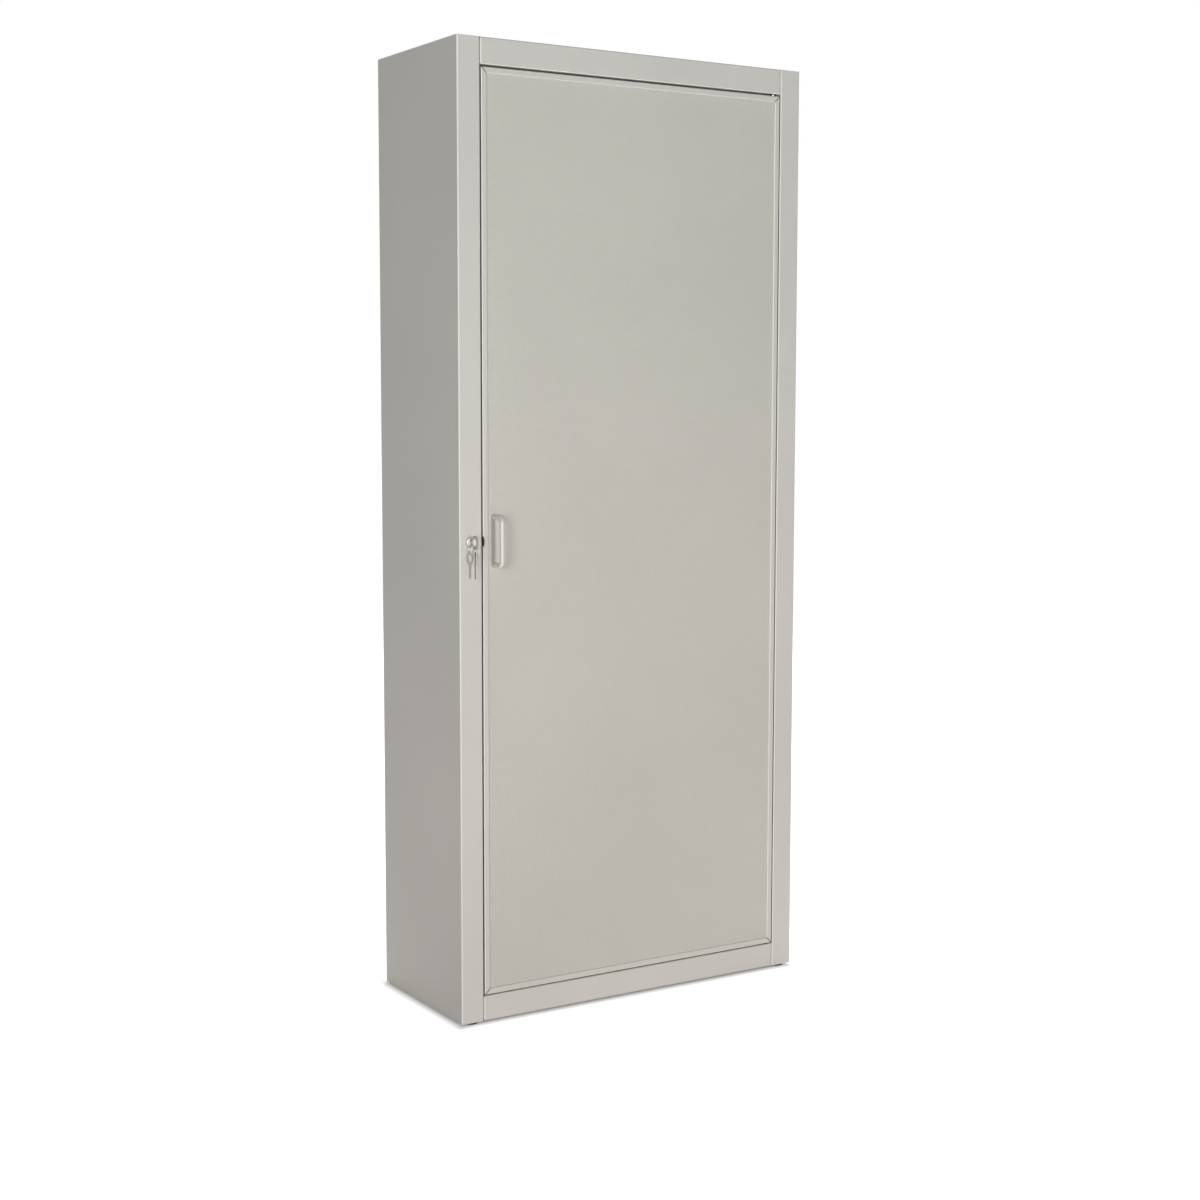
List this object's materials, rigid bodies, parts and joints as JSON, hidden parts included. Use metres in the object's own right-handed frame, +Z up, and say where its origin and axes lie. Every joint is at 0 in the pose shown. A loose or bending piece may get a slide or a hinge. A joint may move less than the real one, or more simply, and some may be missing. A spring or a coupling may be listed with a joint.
{
  "type": "broom cupboard",
  "caption": "Tall free-standing steel cupboard with a flush pivot-hung door, bow handle, keyed bolt lock in the stile, hat shelf and hook rail for brooms.",
  "frame": {"origin": "on the floor, under the middle of the whole object's box", "axes": "+Z up, +X to the right seen from the front, front faces -Y"},
  "size_m": [0.825, 0.384, 1.95],
  "materials": {
    "grey_powder_coat": "fine-textured satin powder coat",
    "grey_perforated_sheet": "finely perforated sheet with satin powder coat",
    "zinc_steel": "bright zinc plating",
    "nickel": "satin nickel plating",
    "black_plastic": "moulded, matt",
    "black_rubber": "matt"
  },
  "bodies": {
    "carcass": {"back_panel": "grey_powder_coat", "back_panel_rivets": "zinc_steel", "bottom_panel": "grey_powder_coat", "bottom_pivot_bush": "black_plastic", "broom_hook_1": "zinc_steel", "broom_hook_2": "zinc_steel", "broom_hook_3": "zinc_steel", "broom_hook_4": "zinc_steel", "door_buffer_1": "black_rubber", "door_buffer_2": "black_rubber", "door_buffer_3": "black_rubber", "foot_1": "black_plastic", "foot_2": "black_plastic", "foot_3": "black_plastic", "foot_4": "black_plastic", "foot_plate_1": "grey_powder_coat", "foot_plate_2": "grey_powder_coat", "foot_plate_3": "grey_powder_coat", "foot_plate_4": "grey_powder_coat", "hat_shelf": "grey_powder_coat", "hook_rail": "grey_powder_coat", "hook_rail_screws": "zinc_steel", "left_side_panel": "grey_powder_coat", "lock_case": "zinc_steel", "lock_cylinder": "nickel", "lock_nut": "zinc_steel", "lock_rivets": "zinc_steel", "right_side_panel": "grey_powder_coat", "shelf_bracket_1": "grey_powder_coat", "shelf_bracket_2": "grey_powder_coat", "shelf_bracket_3": "grey_powder_coat", "shelf_bracket_4": "grey_powder_coat", "top_panel": "grey_powder_coat", "top_pivot_bush": "black_plastic"},
    "door": {"bottom_pivot_block": "zinc_steel", "bottom_pivot_pin": "zinc_steel", "door_corner_bracket_1": "zinc_steel", "door_corner_bracket_2": "zinc_steel", "door_corner_bracket_3": "zinc_steel", "door_corner_bracket_4": "zinc_steel", "door_frame_bottom": "grey_powder_coat", "door_frame_left": "grey_powder_coat", "door_frame_right": "grey_powder_coat", "door_frame_top": "grey_powder_coat", "door_handle": "grey_powder_coat", "door_panel": "grey_perforated_sheet", "door_stiffener": "grey_powder_coat", "handle_backing_plate": "zinc_steel", "handle_screws": "zinc_steel", "top_pivot_block": "zinc_steel", "top_pivot_pin": "zinc_steel"},
    "plug": {"lock_plug": "nickel"},
    "bolt": {"lock_bolt": "zinc_steel"},
    "door_key": {"key": "nickel"},
    "ring": {"key_ring": "nickel"},
    "hanging_key": {"spare_key": "nickel"}
  },
  "joints": [
    {"name": "door_swing", "type": "hinge", "parent": "carcass", "child": "door", "pos_m": [0.3475, -0.15, 0], "axis": [0, 0, 1], "range_deg": [0, 105]},
    {"name": "plug_turn", "type": "hinge", "parent": "carcass", "child": "plug", "pos_m": [-0.3875, -0.158, 0.975], "axis": [0, 1, 0], "range_deg": [0, 90]},
    {"name": "bolt_slide", "type": "slide", "parent": "carcass", "child": "bolt", "axis": [1, 0, 0], "range_m": [0, 0.01136]},
    {"name": "key_pull", "type": "slide", "parent": "plug", "child": "door_key", "axis": [0, -1, 0], "range_m": [0, 0.028]},
    {"name": "ring_hang", "type": "hinge", "parent": "door_key", "child": "ring", "pos_m": [-0.3875, -0.1758, 0.964], "axis": [0, 1, 0], "range_deg": [-91, 1]},
    {"name": "spare_key_swing", "type": "hinge", "parent": "ring", "child": "hanging_key", "pos_m": [-0.3875, -0.1758, 0.9508], "axis": [0.8829, -0.4695, 0], "range_deg": [-40, 10]}
  ],
  "couplings": [
    {"joint": "bolt_slide", "follows": "plug_turn", "m_per_rad": 0.0072025},
    {"joint": "ring_hang", "follows": "plug_turn", "ratio": -1}
  ]
}
